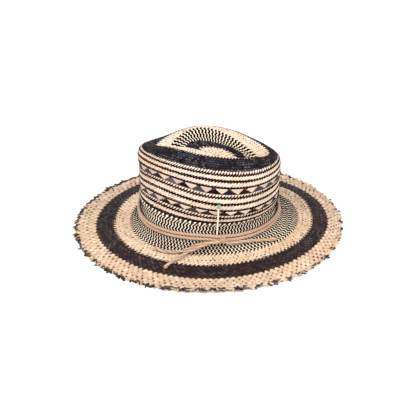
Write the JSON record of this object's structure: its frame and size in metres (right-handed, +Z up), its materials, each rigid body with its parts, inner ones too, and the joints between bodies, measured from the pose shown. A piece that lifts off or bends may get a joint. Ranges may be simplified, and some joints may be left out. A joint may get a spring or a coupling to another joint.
{
  "type": "woven straw hat",
  "caption": "Wide-brimmed hand-woven straw hat with a pinched, dented crown, a frayed brim edge and a twine tied round the crown with a match tucked under it.",
  "frame": {"origin": "middle of the brim's outline, on the surface that the hat stands on", "axes": "+Z up; +X towards the back of the hat, so the pinched front of the crown points to -X; +Y towards the wearer's right, so the knot and the match are on the -Y side"},
  "size_m": [0.3976, 0.3434, 0.1455],
  "materials": {
    "straw": "matt woven straw, natural with dark brown-black stripes, zigzags and triangles",
    "twine": "matt plant-fibre twine",
    "match_wood": "bare pale wood",
    "match_head": "matt green"
  },
  "bodies": {
    "root": {"hat_body": "straw", "cord_turn_upper": "twine", "cord_turn_lower": "twine", "cord_knot": "twine", "cord_tail_front": "twine", "cord_tail_loop": "twine", "cord_tail_back": "twine", "match_stick": "match_wood", "match_head": "match_head"}
  },
  "joints": []
}
